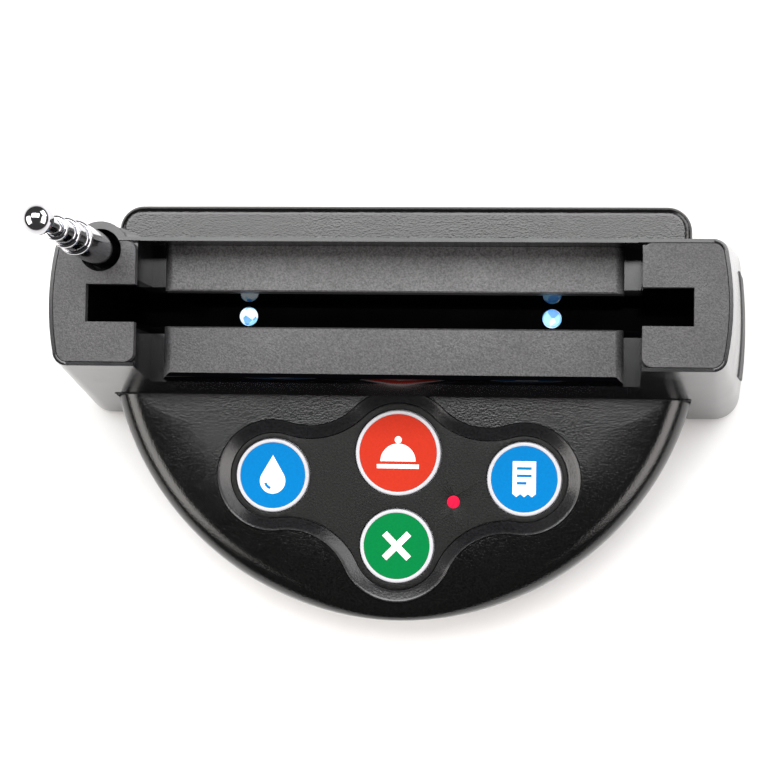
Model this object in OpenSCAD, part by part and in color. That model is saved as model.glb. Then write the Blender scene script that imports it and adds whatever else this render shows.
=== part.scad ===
// Table-top call pager with an illuminated card holder.
// The Z=0 plane is the table under the feet, X=0 is the plane of symmetry and Y=0 is the
// middle of the pager's depth. The keys are at the front, -Y, and the card slot runs along X.

/* [Card holder] */
// Height of the end caps above the table
cap_top_z = 60; // [56:0.5:64]
// Half width of the holder at its top, over the bulged sides
holder_top_hw = 71.4; // [70.6:0.1:72.4]
// Half width of the holder at the table, over the bulged sides
holder_foot_hw = 77.9; // [76:0.1:79]
// How far the holder's sides bulge
side_bulge = 1.1; // [0.6:0.1:1.6]
// Y of the card slot's middle
slot_y = 21; // [20.5:0.1:21.5]
// Reach of the holder's top in front of the slot's middle
holder_top_front = 13.3; // [13:0.1:14]
// Reach of the holder's top behind the slot's middle
holder_top_rear = 14; // [13.8:0.1:14.6]
// Reach of the holder's foot in front of the slot's middle
holder_foot_front = 21; // [20:0.1:22]
// Reach of the holder's foot behind the slot's middle
holder_foot_rear = 21.2; // [20.5:0.1:22]
// Wall of the holder
holder_wall = 2.2; // [1.8:0.1:2.4]
// Drop from the end caps to the rails
rail_drop = 12.3; // [11:0.1:13]
// Height of the rails above the gap floor
rail_h = 5; // [4:0.1:6]
// Half length of the rails' flat tops
rail_half = 49.4; // [48:0.1:50.5]
// X of the end caps' inner edges
cap_inner_x = 53; // [52:0.1:54]
// Thickness of the end caps
cap_t = 2.2; // [1.6:0.1:2.6]

/* [Card slot] */
// Half length of the slot, for a card five inches wide
slot_half = 63.5; // [63:0.1:63.5]
// Half width of the slot at the rails
slot_top_hw = 3.85; // [3.5:0.05:4]
// Half width of the slot's floor
slot_floor_hw = 2.7; // [2.6:0.1:3]
// Half width of the notches in the end caps
notch_hw = 4; // [4:0.05:4.2]
// Distance of each slot light from the middle
led_x = 33.84; // [30:0.1:36]

/* [Base] */
// Height of the key deck
deck_z = 28; // [27.5:0.1:28.5]
// Radius of the base's round front
base_r = 67; // [66.5:0.1:67.5]
// Half width of the base
base_hw = 64.5; // [64:0.1:64.8]
// Y of the base's rear edge
base_rear_y = 46.3; // [45.8:0.1:46.6]
// Radius of the front shoulder
shoulder_r = 4; // [3:0.5:4]
// Wall of the base
base_wall = 2.2; // [2:0.1:2.4]
// Height of the rubber feet below the base
foot_h = 1; // [0.8:0.1:1.2]
// Thickness of the bottom pan
pan_t = 2; // [1.8:0.1:2.2]

/* [Keys] */
// Radius of the call key
call_r = 9.5; // [9:0.1:9.6]
// Radius of the other three keys
key_r = 8.2; // [7.8:0.1:8.2]
// Travel of a key
key_travel = 0.6; // [0.4:0.1:0.6]
// Depth of the key pocket below the deck
pocket_depth = 1.6; // [1.2:0.1:1.8]
// Width of the bezel round the key plate, seen from above
bezel_out = 2.8; // [2:0.1:2.8]
// Radius of the hollows between the pocket's lobes
neck_r = 17; // [15:0.5:18]

/* [Antenna] */
// X of the antenna
antenna_x = -60.63; // [-61:0.01:-60.3]
// Distance of the antenna behind the slot's middle
antenna_back = 11.16; // [11:0.01:11.3]
// Outer radii of the four stages
stage_r = [3.45, 2.95, 2.4, 1.6];
// Heights of the stages' tops above the end caps
stage_top = [21, 28.6, 35.7, 45];
// Height of the ball's centre above the end caps
ball_up = 47.9; // [47:0.1:48.5]
// Radius of the ball
ball_r = 3.05; // [2.8:0.05:3.1]

/* [Hidden] */
$fn = 64;
eps = 0.01;
gap = 0.15;
arc_steps = 8;

// Heights
rail_z = cap_top_z - rail_drop;
gap_floor_z = rail_z - rail_h;
cap_seat_z = cap_top_z - cap_t;
pan_top_z = foot_h + pan_t;
deck_under_z = deck_z - base_wall;
plate_top_z = deck_z - pocket_depth;
plate_t = 1.4;
plate_under_z = plate_top_z - plate_t;
key_top_z = plate_top_z + 0.8;
channel_floor_z = deck_z + 1.8;
channel_t = 1.2;

// Key positions, in the order call, water, cancel, bill, anticlockwise round the pocket
CALL = 0;
WATER = 1;
CANCEL = 2;
BILL = 3;
side_key_x = 28.12;
key_pos = [[0, slot_y - 30], [-side_key_x, slot_y - 35.4], [0, slot_y - 50.65], [side_key_x, slot_y - 35.4]];
key_rad = [call_r, key_r, key_r, key_r];
lobe_r = [11.3, 9.7, 9.85, 9.7];
label_color = ["#e13e2c", "#0092e2", "#009e50", "#0092e2"];
rim_w = 0.85;

// Base
d_centre_y = slot_y - 0.33;
split_y = d_centre_y - sqrt(base_r * base_r - base_hw * base_hw);
rear_corner_r = 5.5;
rear_edge_r = 2;
shoulder_in = 1.5;
front_steps = 16;

// Circuit boards and switches
board_z = 17;
board_t = 1.6;
board_top_z = board_z + board_t;
board_hw = 44;
board_rear_y = 3;
board_front_y = -35.5;
board_r = 58;
switch_w = 6;
switch_h = 3.4;
plunger_r = 1.7;
plunger_top_z = board_top_z + switch_h + 0.9;
led_board_top_z = channel_floor_z - channel_t - 3.4;
led_board_t = 1.2;
led_board_hw = 4.5;
led_board_half = 40;
led_r = 2;

// Batteries, three side by side
cell_r = 5.25;
cell_l = 44.5;
cell_pitch = 11.4;
cell_shift = 1.6;
cell_z = pan_top_z + cell_r + 0.3;
box_y = [7, 43.6];
box_hw = 28.5;
box_wall = 1.4;
box_top_z = cell_z + cell_r + 0.4 + box_wall;
box_mid_y = (box_y[0] + box_y[1]) / 2;
door_hw = 26;
door_t = 1.2;
door_y = [box_y[0] + 1, base_rear_y];
tongue = 1.4;
tongue_t = 0.6;

// Screws
case_pos = [[-55, 38], [55, 38], [-50, -8], [50, -8], [-24, -36], [24, -36]];
holder_pos = [[-42, slot_y - 10.5], [42, slot_y - 10.5], [-42, slot_y + 10.5], [42, slot_y + 10.5]];
board_pos = [[-40, -1], [40, -1], [-20, -31], [20, -31]];
led_screw_x = 20;
boss_r = 3;
pilot_r = 1.1;
screw_r = 1.1;
foot_pos = [[-66, 32], [66, 32], [-38, -22], [38, -22]];
foot_r = 5.5;

// Antenna
antenna_y = slot_y + antenna_back;
lead_x = antenna_x + 4.6;
boss_outer_r = 6.1;
boss_hole_r = 4.5;
tube_wall = 0.35;
collar_h = 5;
lip_h = 1;
fit_gap = 0.03;
stage_bottom = [31, 32.5, 34, 35.5];

// Outlines

// Half width, front and rear reach of the holder at a height
function holder_mix(z, foot, top) = foot + (top - foot) * z / cap_top_z;
function holder_hw(z) = holder_mix(z, holder_foot_hw, holder_top_hw);
function holder_front(z) = slot_y - holder_mix(z, holder_foot_front, holder_top_front);
function holder_rear(z) = slot_y + holder_mix(z, holder_foot_rear, holder_top_rear);
function holder_corner(z) = holder_mix(z, 6, 3);

// Right-hand half of an outline with rounded corners and a bulged side
function barrel_half(hw, front, rear, r, bulge) =
    let (tilt = atan(2 * bulge / ((rear - front) / 2 - r)))
    let (cx = hw - bulge - r * cos(tilt), half = (rear - front) / 2 - r + r * sin(tilt))
    let (mid = (front + rear) / 2)
    concat(
        [for (i = [0:arc_steps]) let (a = -90 + (90 - tilt) * i / arc_steps)
            [cx + r * cos(a), front + r + r * sin(a)]],
        [for (i = [1:arc_steps - 1]) let (s = -1 + 2 * i / arc_steps)
            [hw - bulge * s * s, mid + s * half]],
        [for (i = [0:arc_steps]) let (a = tilt + (90 - tilt) * i / arc_steps)
            [cx + r * cos(a), rear - r + r * sin(a)]]
    );
function both_sides(p) = concat(p, [for (i = [len(p) - 1:-1:0]) [-p[i][0], p[i][1]]]);
function holder_outline(z, inset) = both_sides(barrel_half(
    holder_hw(z) - inset, holder_front(z) + inset, holder_rear(z) - inset,
    max(holder_corner(z) - inset, 0.8), side_bulge));

// Centre of the hollow that touches lobes a and b of the pocket from outside
function neck_centre(a, b) =
    let (d = key_pos[b] - key_pos[a], l = norm(d), u = d / l)
    let (ra = lobe_r[a] + neck_r, rb = lobe_r[b] + neck_r)
    let (x = (ra * ra - rb * rb + l * l) / (2 * l), h = sqrt(ra * ra - x * x))
    key_pos[a] + u * x + [u[1], -u[0]] * h;
function heading(v) = atan2(v[1], v[0]);
function upto(a, b) = b < a ? upto(a, b + 360) : b;
function arc_points(c, r, a0, a1, skip) =
    [for (i = [skip:arc_steps - skip]) let (a = a0 + (a1 - a0) * i / arc_steps) c + r * [cos(a), sin(a)]];
// The pocket's outline, grown by g: a lobe round each key and a hollow after each lobe
function pocket_lobe(k, g) =
    let (before = neck_centre((k + 3) % 4, k), after = neck_centre(k, (k + 1) % 4))
    let (next = key_pos[(k + 1) % 4])
    let (a0 = heading(before - key_pos[k]), a1 = upto(a0, heading(after - key_pos[k])))
    let (b1 = heading(next - after), b0 = upto(b1, heading(key_pos[k] - after)))
    concat(arc_points(key_pos[k], lobe_r[k] + g, a0, a1, 0), arc_points(after, neck_r - g, b0, b1, 1));
function pocket_outline(g) = [for (k = [0:3]) each pocket_lobe(k, g)];

// General shapes

module at(points) {
    for (p = points) translate([p[0], p[1], 0]) children();
}

module both_x() {
    children();
    mirror([1, 0, 0]) children();
}

module post(p, z0, z1, r) {
    translate([p[0], p[1], z0]) cylinder(h = z1 - z0, r = r);
}

module block(x, y, z) {
    translate([x[0], y[0], z[0]]) cube([x[1] - x[0], y[1] - y[0], z[1] - z[0]]);
}

// A section drawn in Y and Z, extruded along X from -half to half
module along_x(half, points) {
    translate([-half, 0, 0]) rotate([90, 0, 90]) linear_extrude(2 * half) polygon(points);
}

module round_rect(x, y, r) {
    translate([x[0] + r, y[0]]) square([x[1] - x[0] - 2 * r, y[1] - y[0]]);
    translate([x[0], y[0] + r]) square([x[1] - x[0], y[1] - y[0] - 2 * r]);
    for (cx = [x[0] + r, x[1] - r], cy = [y[0] + r, y[1] - r]) translate([cx, cy]) circle(r);
}

// The tapered body of the holder between two heights, inset by so much
module holder_body(z0, z1, inset) {
    hull() {
        translate([0, 0, z0]) linear_extrude(eps) polygon(holder_outline(z0, inset));
        translate([0, 0, z1 - eps]) linear_extrude(eps) polygon(holder_outline(z1, inset));
    }
}

// A ring round the pocket. Its section is a list of [growth, z] corners, outer wall first and rising
module pocket_ring(section) {
    loops = [for (c = section) [for (p = pocket_outline(c[0])) [p[0], p[1], c[1]]]];
    n = len(loops[0]);
    m = len(loops);
    faces = [for (l = [0:m - 1], i = [0:n - 1]) let (u = (l + 1) % m, j = (i + 1) % n)
        each [[l * n + i, u * n + i, u * n + j], [l * n + i, u * n + j, l * n + j]]];
    polyhedron([for (l = loops) each l], faces, convexity = 8);
}

// Points of the base's round front at one radius, from side to side
function front_arc(r) =
    let (reach = acos((d_centre_y - split_y) / r))
    [for (i = [-front_steps:front_steps]) let (t = reach * i / front_steps) [r * sin(t), d_centre_y - r * cos(t)]];

// The base's solid, inset by so much, with a rounded front shoulder and a rounded rear edge
module base_solid(inset, z0, z1, shoulder, edge) {
    rear = base_rear_y - inset;
    r = max(rear_corner_r - inset, 1);
    hull() {
        for (a = [0:45:90]) {
            translate([0, 0, z0]) linear_extrude(z1 - z0 - shoulder * (1 - sin(a)))
                polygon(front_arc(base_r - inset - shoulder * (1 - cos(a))));
        }
        for (a = [0:30:90], s = [-1, 1]) {
            hw = base_hw - inset - edge * (1 - cos(a));
            translate([0, 0, z0]) linear_extrude(z1 - z0 - edge * (1 - sin(a))) {
                translate([s * hw - (s > 0 ? 1 : 0), split_y]) square(1);
                translate([s * (base_hw - inset - r), rear - r]) circle(r - edge * (1 - cos(a)), $fn = 32);
            }
        }
    }
}

// A wire through points, with round bends
module wire(points, r) {
    for (i = [0:len(points) - 2]) {
        d = points[i + 1] - points[i];
        l = norm(d);
        translate(points[i]) rotate([0, acos(d[2] / l), atan2(d[1], d[0])]) cylinder(h = l, r = r, $fn = 24);
        if (i > 0) translate(points[i]) sphere(1.5 * r, $fn = 24);
    }
}

// A pan-head screw that enters upwards, head at the bottom
module screw(p, z, l) {
    difference() {
        union() {
            post(p, z, z + 1.6, 2.4);
            post(p, z + 1.6, z + l, screw_r);
        }
        translate([p[0], p[1], z]) block([-1.5, 1.5], [-0.3, 0.3], [-eps, 0.8]);
        translate([p[0], p[1], z]) block([-0.3, 0.3], [-1.5, 1.5], [-eps, 0.8]);
    }
}

// Card holder

// Room for the rubber pad in each side wall: so deep, so far proud of the wall, and so much larger all round
module pad_room(depth, proud, clear) {
    difference() {
        intersection() {
            holder_body(0, cap_top_z, -proud);
            both_x() block([70, 82], [slot_y - 11.8 - clear, slot_y + 12 + clear], [4.5 - clear, 19 + clear]);
        }
        holder_body(0, cap_top_z, depth);
    }
}

module holder_outside() {
    holder_body(pan_top_z, cap_top_z, 0);
    post([antenna_x, antenna_y], deck_z + eps, cap_top_z, boss_outer_r);
    // Gusset between the antenna boss and the rear wall
    translate([antenna_x, 0, deck_z + eps]) linear_extrude(cap_seat_z - deck_z)
        polygon([[0, antenna_y], [4, antenna_y + 5], [12, antenna_y + 1.5]]);
}

module holder_cavity() {
    intersection() {
        holder_body(pan_top_z - 1, cap_seat_z, holder_wall);
        union() {
            block([-90, 90], [-20, 60], [0, gap_floor_z - holder_wall]);
            both_x() block([cap_inner_x + holder_wall, 90], [-20, 60], [0, cap_seat_z + 1]);
        }
    }
}

module holder_shell() {
    rear_y = slot_y + holder_top_rear - 0.9;
    color("#2b2b2d") difference() {
        union() {
            difference() {
                holder_outside();
                holder_cavity();
            }
            post([antenna_x, antenna_y], gap_floor_z - 6, cap_seat_z, boss_outer_r);
            at(holder_pos) post([0, 0], deck_z + eps, gap_floor_z - 1, boss_r);
        }
        // Gap between the end caps, open to the front
        along_x(cap_inner_x, [[-30, gap_floor_z], [rear_y + 0.65, gap_floor_z], [rear_y + 0.65, rail_z],
            [rear_y, cap_top_z + 1], [-30, cap_top_z + 1]]);
        // Recesses for the end caps
        intersection() {
            translate([0, 0, cap_seat_z]) linear_extrude(10) polygon(holder_outline(cap_top_z, 0.75));
            both_x() block([cap_inner_x - 1, 90], [-20, 60], [0, 90]);
        }
        // Way through for the slot channel
        block([-slot_half - 1.5, slot_half + 1.5], [slot_y - 5.1, slot_y + 5.1], [0, 90]);
        // Room for the base between the two wings
        block([-base_hw - 0.05, base_hw + 0.05], [-30, 60], [0, deck_z + 0.02]);
        post([antenna_x, antenna_y], 0, 90, boss_hole_r);
        at(holder_pos) post([0, 0], 0, deck_z + 11, pilot_r);
        pad_room(1.2, 1, 0.1);
    }
}

module end_cap() {
    difference() {
        translate([0, 0, cap_seat_z]) linear_extrude(cap_t) intersection() {
            polygon(holder_outline(cap_top_z, 0.9));
            round_rect([cap_inner_x, 90], [slot_y - holder_top_front + 0.9, slot_y + holder_top_rear - 0.9], 2);
        }
        block([cap_inner_x - 1, slot_half], [slot_y - notch_hw, slot_y + notch_hw], [0, 90]);
    }
}

module left_end_cap() {
    color("#56565a") difference() {
        mirror([1, 0, 0]) end_cap();
        post([antenna_x, antenna_y], 0, 90, boss_outer_r + 0.1);
    }
    color("#56565a") difference() {
        intersection() {
            mirror([1, 0, 0]) end_cap();
            post([antenna_x, antenna_y], cap_top_z - 1, cap_top_z, boss_outer_r + 0.2);
        }
        post([antenna_x, antenna_y], 0, 90, boss_hole_r);
    }
}

module right_end_cap() {
    color("#56565a") end_cap();
}

// A rail's ends seen from the front: flat top, rounded shoulders
module rail_ends() {
    r = 2;
    translate([0, 80, 0]) rotate([90, 0, 0]) linear_extrude(120) {
        translate([-rail_half, gap_floor_z]) square([2 * rail_half, rail_h - r]);
        translate([-rail_half + r, gap_floor_z]) square([2 * (rail_half - r), rail_h]);
        for (s = [-1, 1]) translate([s * (rail_half - r), rail_z - r]) circle(r);
    }
}

module front_rail() {
    z = gap_floor_z + eps;
    y = slot_y - slot_top_hw;
    front = holder_front(gap_floor_z);
    top = holder_front(rail_z);
    color("#525256") intersection() {
        along_x(rail_half, [[front, z], [top - 0.1, rail_z - 1.3], [top + 0.3, rail_z - 0.45], [top + 1.1, rail_z],
            [y - 0.3, rail_z], [y, rail_z - 0.3], [y, z]]);
        rail_ends();
    }
}

module rear_rail() {
    z = gap_floor_z + eps;
    y = slot_y + slot_top_hw;
    rear = slot_y + holder_top_rear - 0.9 + 0.6;
    color("#525256") intersection() {
        along_x(rail_half, [[rear, z], [rear, rail_z], [y + 0.3, rail_z], [y, rail_z - 0.3], [y, z]]);
        rail_ends();
    }
}

module slot_channel() {
    outer = 5.05;
    wall_x = slot_half + 1.4;
    bottom = channel_floor_z - channel_t;
    color("#141416") difference() {
        union() {
            block([-wall_x, wall_x], [slot_y - outer, slot_y + outer], [bottom, gap_floor_z]);
            both_x() block([cap_inner_x + 0.1, wall_x], [slot_y - outer, slot_y + outer], [bottom, cap_seat_z - 0.02]);
            both_x() post([led_screw_x, slot_y], led_board_top_z, bottom + eps, 2.2);
        }
        along_x(slot_half, [[slot_y - slot_floor_hw, channel_floor_z], [slot_y + slot_floor_hw, channel_floor_z],
            [slot_y + slot_top_hw, gap_floor_z], [slot_y + slot_top_hw, 90],
            [slot_y - slot_top_hw, 90], [slot_y - slot_top_hw, gap_floor_z]]);
        both_x() post([led_x, slot_y], 0, 40, led_r + 0.1);
        both_x() post([led_screw_x, slot_y], 0, bottom - 0.6, pilot_r);
    }
}

module slot_leds() {
    top = channel_floor_z + 1;
    color("#cfe9ff") both_x() {
        post([led_x, slot_y], led_board_top_z, led_board_top_z + 0.9, led_r + 0.45);
        post([led_x, slot_y], led_board_top_z, top - 1, led_r);
        translate([led_x, slot_y, top - 1]) intersection() {
            sphere(led_r);
            cylinder(h = 1, r = led_r);
        }
        for (s = [-1.27, 1.27]) post([led_x + s, slot_y], led_board_top_z - led_board_t - 1, led_board_top_z, 0.25);
    }
}

module led_board() {
    color("#1e6b3a") difference() {
        block([-led_board_half, led_board_half], [slot_y - led_board_hw, slot_y + led_board_hw],
            [led_board_top_z - led_board_t, led_board_top_z]);
        both_x() post([led_screw_x, slot_y], 0, 90, 1.3);
        both_x() for (s = [-1.27, 1.27]) post([led_x + s, slot_y], 0, 90, 0.3);
    }
}

module led_board_screws() {
    color("#b8bcc2") both_x() screw([led_screw_x, slot_y], led_board_top_z - led_board_t - 1.6, 5.6);
}

module side_pads() {
    color("#3a3a3c") pad_room(1.1, 0.3, 0);
}

// Base

module base_cover() {
    window = [slot_y - 6.5, slot_y + 6.5];
    color("#242426") difference() {
        union() {
            difference() {
                base_solid(0, pan_top_z, deck_z, shoulder_r, rear_edge_r);
                base_solid(base_wall, pan_top_z - 1, deck_under_z, shoulder_in, 1);
            }
            at(case_pos) post([0, 0], pan_top_z, deck_under_z + 1, boss_r);
            at(board_pos) post([0, 0], board_top_z, deck_under_z + 1, boss_r - 0.4);
        }
        translate([0, 0, deck_under_z - 0.6]) linear_extrude(9) polygon(pocket_outline(bezel_out + 0.07));
        // Window for the slot lights, and the hole for the antenna lead
        block([-58, 58], window, [deck_under_z - 2, deck_z + 1]);
        post([lead_x, antenna_y], deck_under_z - 2, deck_z + 1, 1.2);
        at(case_pos) post([0, 0], 0, pan_top_z + 11, pilot_r);
        at(board_pos) post([0, 0], 0, board_top_z + 5, pilot_r);
        at(holder_pos) post([0, 0], 0, 90, 1.3);
    }
}

// The pocket's sloped wall, with the seat of the key plate
module key_bezel() {
    low = plate_under_z - 1.4;
    color("#2a2a2c") pocket_ring([
        [bezel_out, low], [bezel_out, deck_z], [bezel_out - 0.35, deck_z], [0.25, plate_top_z],
        [0, plate_top_z], [0, plate_under_z], [-0.7, plate_under_z], [-0.7, low]
    ]);
}

module key_plate() {
    window = [12.46, slot_y - 40.7];
    color("#2e2e30") difference() {
        translate([0, 0, plate_under_z]) linear_extrude(plate_t) polygon(pocket_outline(-gap));
        for (k = [0:3]) post(key_pos[k], 0, 90, key_rad[k] + 0.25);
        post(window, 0, 90, 1.4);
    }
}

module base_pan() {
    z = [foot_h, pan_top_z - eps];
    color("#1f1f21") difference() {
        translate([0, 0, z[0]]) linear_extrude(z[1] - z[0]) {
            intersection() {
                translate([0, d_centre_y]) circle(base_r - 0.3);
                translate([-base_hw, d_centre_y - base_r]) square([2 * base_hw, base_r]);
            }
            round_rect([-base_hw, base_hw], [split_y, base_rear_y - 0.2], rear_corner_r);
            polygon(holder_outline(pan_top_z, 0.2));
        }
        // Battery opening, open to the rear, with a groove on each side for the door
        block([-door_hw - 0.2, door_hw + 0.2], [door_y[0] - 0.2, 60], [0, 10]);
        block([-door_hw - tongue - 0.2, door_hw + tongue + 0.2], [door_y[0] - 0.2, 60],
            [foot_h + 0.45, foot_h + 0.45 + tongue_t + 0.3]);
        at(case_pos) post([0, 0], 0, 10, 1.4);
        at(case_pos) post([0, 0], 0, foot_h + 1.6, 2.7);
        at(foot_pos) post([0, 0], 0, foot_h + 0.4, foot_r + 0.1);
    }
}

module battery_door() {
    y = door_y;
    color("#1f1f21") {
        difference() {
            block([-door_hw, door_hw], y, [foot_h, foot_h + door_t]);
            for (i = [0:4]) block([-12, 12], [y[1] - 4 - 2 * i, y[1] - 3 - 2 * i], [0, foot_h + 0.4]);
        }
        block([-door_hw - tongue, door_hw + tongue], [y[0], y[1] - 1], [foot_h + 0.6, foot_h + 0.6 + tongue_t]);
    }
}

module rubber_feet() {
    color("#3c3c3c") at(foot_pos) post([0, 0], 0, foot_h + 0.4, foot_r);
}

module battery_box() {
    color("#2a2a2c") difference() {
        block([-box_hw, box_hw], box_y, [pan_top_z, box_top_z]);
        block([-box_hw + box_wall, box_hw - box_wall], [box_y[0] + box_wall, box_y[1] - box_wall],
            [0, box_top_z - box_wall]);
        block([box_hw - 5, box_hw - 3], [box_y[0] - 1, box_y[0] + 3], [8, 11]);
        block([-box_hw + 3, -box_hw + 5], [box_y[0] - 1, box_y[0] + 3], [8, 11]);
    }
}

function cell_y(i) = box_mid_y + (i - 1) * cell_pitch;
function cell_way(i) = i % 2 == 0 ? 1 : -1;

module batteries() {
    color("#3f7d4f") for (i = [0:2]) {
        way = cell_way(i);
        translate([way * cell_shift, cell_y(i), cell_z]) rotate([0, way * 90, 0]) {
            translate([0, 0, -cell_l / 2]) cylinder(h = cell_l - 0.8, r = cell_r);
            translate([0, 0, cell_l / 2 - 0.8]) cylinder(h = 0.8, r = 1.9);
        }
    }
}

// A spring of turns that rises along +Z, as rings joined by a post
module coil(turns, r, wire_r, pitch) {
    for (i = [0:turns - 1]) translate([0, 0, i * pitch]) rotate_extrude() translate([r, 0]) circle(wire_r, $fn = 16);
    translate([r, 0, 0]) cylinder(h = (turns - 1) * pitch, r = 0.6 * wire_r, $fn = 16);
}

module battery_springs() {
    end = cell_l / 2 - cell_shift;
    start = box_hw - box_wall - 0.4;
    pitch = (start - end - 0.7) / 3;
    color("#c9ccd1") for (i = [0:2]) {
        way = cell_way(i);
        translate([-way * (end + 0.35), cell_y(i), cell_z]) rotate([0, -way * 90, 0]) coil(4, 3, 0.35, pitch);
    }
}

module battery_contacts() {
    x = box_hw - box_wall;
    color("#c9ccd1") for (i = [0:2], s = [-1, 1]) {
        translate([s * (x - 0.2), cell_y(i), cell_z]) cube([0.38, 8, 8], center = true);
    }
    color("#c9ccd1") for (i = [0:2]) {
        way = cell_way(i);
        end = cell_l / 2 + cell_shift;
        translate([way * (end + (x - 0.4 - end) / 2), cell_y(i), cell_z])
            cube([x - 0.4 - end - 0.02, 3, 3], center = true);
    }
}

// Electronics

module main_board() {
    color("#1e6b3a") difference() {
        translate([0, 0, board_z]) linear_extrude(board_t) intersection() {
            translate([0, d_centre_y]) circle(board_r);
            translate([-board_hw, board_front_y]) square([2 * board_hw, board_rear_y - board_front_y]);
        }
        at(board_pos) post([0, 0], 0, 90, 1.3);
    }
}

module switch_bodies() {
    color("#17181a") for (k = [0:3]) difference() {
        translate([key_pos[k][0], key_pos[k][1], board_top_z + switch_h / 2])
            cube([switch_w, switch_w, switch_h], center = true);
        post(key_pos[k], board_top_z + 0.8, 90, plunger_r + 0.05);
    }
}

module controller_chip() {
    color("#1a1a1c") translate([-14, -18, board_top_z + 0.8]) cube([10.3, 7.5, 1.6], center = true);
    color("#c9ccd1") for (i = [0:9], s = [-1, 1]) {
        translate([-14 - 4.5 * 1.0 + i, -18 + s * 4.5, board_top_z + 0.3]) cube([0.4, 1.5, 0.6], center = true);
    }
}

module chip_parts() {
    color("#b08d57") for (x = [8, 12, 16, 20], y = [-12, -15.5]) {
        translate([x, y, board_top_z + 0.4]) cube([2, 1.25, 0.8], center = true);
    }
    color("#2f5fb0") post([31, -26], board_top_z, board_top_z + 4.6, 2.5);
}

module radio_board() {
    color("#234f9a") block([-37, -24.6], [-10.8, -3], [board_top_z, board_top_z + 1]);
}

module radio_shield() {
    z = board_top_z + 1;
    color("#c4c7cc") difference() {
        block([-34.4, -25.4], [-10, -3.8], [z, z + 2.2]);
        block([-34.2, -25.6], [-9.8, -4], [z - 1, z + 2]);
    }
}

module crystal_can() {
    z = board_top_z;
    color("#c4c7cc") translate([0, 0, z]) linear_extrude(3.5) round_rect([-24, -13], [-10, -5.5], 2.2);
}

module status_led() {
    p = [12.46, slot_y - 40.7];
    color("#f5d0d0") {
        post(p, board_top_z, board_top_z + 0.8, 1.9);
        post(p, board_top_z, plate_under_z - 1, 1.5);
    }
}

module status_window() {
    p = [12.46, slot_y - 40.7];
    color("#fa0a3c") {
        post(p, plate_under_z - 0.6, plate_under_z, 2);
        post(p, plate_under_z - 0.6, plate_top_z + 0.1, 1.4 - eps);
    }
}

// Keys

module keycap(k) {
    r = key_rad[k];
    flange_top = plate_under_z - 0.05;
    color("#e6e6ea") difference() {
        union() {
            post(key_pos[k], flange_top - 1, flange_top, r + 0.5);
            post(key_pos[k], flange_top - 1, key_top_z, r);
            post(key_pos[k], plunger_top_z, flange_top - 1 + eps, 2);
        }
        post(key_pos[k], key_top_z - 0.6, 90, r - rim_w);
    }
}

module key_label(k) {
    color(label_color[k]) post(key_pos[k], key_top_z - 0.6, key_top_z - 0.05, key_rad[k] - rim_w - 0.02);
}

module key_plunger(k) {
    color("#d8d8d8") post(key_pos[k], plunger_top_z - 2.3, plunger_top_z, plunger_r);
}

// Antenna

function stage_z(i) = cap_top_z + stage_top[i];

// One tube: it has a spring collar at its lower end and a rolled lip at its top
module stage(i) {
    r = stage_r[i];
    z0 = stage_bottom[i];
    z1 = stage_z(i);
    difference() {
        union() {
            post([antenna_x, antenna_y], z0, z1, r);
            if (i > 0) post([antenna_x, antenna_y], z0, z0 + collar_h, stage_r[i - 1] - tube_wall - fit_gap);
        }
        if (i < 3) {
            post([antenna_x, antenna_y], z0 - 1, z1 - lip_h, r - tube_wall);
            post([antenna_x, antenna_y], z0 - 1, z1 + 1, stage_r[i + 1] + fit_gap);
        }
    }
}

module antenna_tube() {
    color("#d4d7db") stage(0);
}

module antenna_section_2() {
    color("#d4d7db") stage(1);
}

module antenna_section_3() {
    color("#d4d7db") stage(2);
}

module antenna_rod() {
    color("#d4d7db") stage(3);
}

module antenna_ball() {
    color("#dfe2e6") difference() {
        translate([antenna_x, antenna_y, cap_top_z + ball_up]) sphere(ball_r);
        post([antenna_x, antenna_y], 0, stage_z(3), stage_r[3]);
    }
}

module antenna_bushing() {
    color("#101012") difference() {
        post([antenna_x, antenna_y], gap_floor_z - 6, cap_seat_z - 8, boss_hole_r);
        post([antenna_x, antenna_y], 0, 90, stage_r[0]);
    }
}

module antenna_lug() {
    z = stage_bottom[0];
    color("#b9923a") {
        post([antenna_x, antenna_y], z - 0.6, z, 3.4);
        block([antenna_x, lead_x + 1.4], [antenna_y - 1.5, antenna_y + 1.5], [z - 0.6, z]);
    }
    color("#b8bcc2") post([antenna_x, antenna_y], z - 1.8, z - 0.6, 2);
}

module antenna_lead() {
    color("#8f1f1f") wire([
        [-35.7, -4.2, board_top_z + 1.02], [-35.7, -4.2, 22.5], [-35.7, 12, 22.5], [lead_x, antenna_y, 22.5],
        [lead_x, antenna_y, stage_bottom[0] - 0.62]
    ], 0.55);
}

module led_leads() {
    color("#b33030") for (s = [0, 2]) wire([
        [-30 + s, 1, board_top_z + 0.02], [-30 + s, 1, 21.5], [-30 + s, slot_y - 3, 22],
        [-30 + s, slot_y - 3, led_board_top_z - led_board_t - 0.02]
    ], 0.5);
}

module battery_leads() {
    x = box_hw - 4;
    color("#202020") for (s = [-1, 1]) wire([
        [s * x, box_y[0] + box_wall + 1, 9.5], [s * x, box_y[0] - 2.2, 9.5], [s * x, 4.8, 12],
        [s * x, 4.8, 19.6], [s * x, 1.5, 20], [s * x, 1.5, board_top_z + 0.02]
    ], 0.55);
}

// Fasteners

module case_screws() {
    color("#b8bcc2") at(case_pos) screw([0, 0], foot_h, 10);
}

module holder_screws() {
    color("#b8bcc2") at(holder_pos) screw([0, 0], deck_under_z - 1.6, 12);
}

module board_screws() {
    color("#b8bcc2") at(board_pos) screw([0, 0], board_z - 1.6, 7);
}

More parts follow.
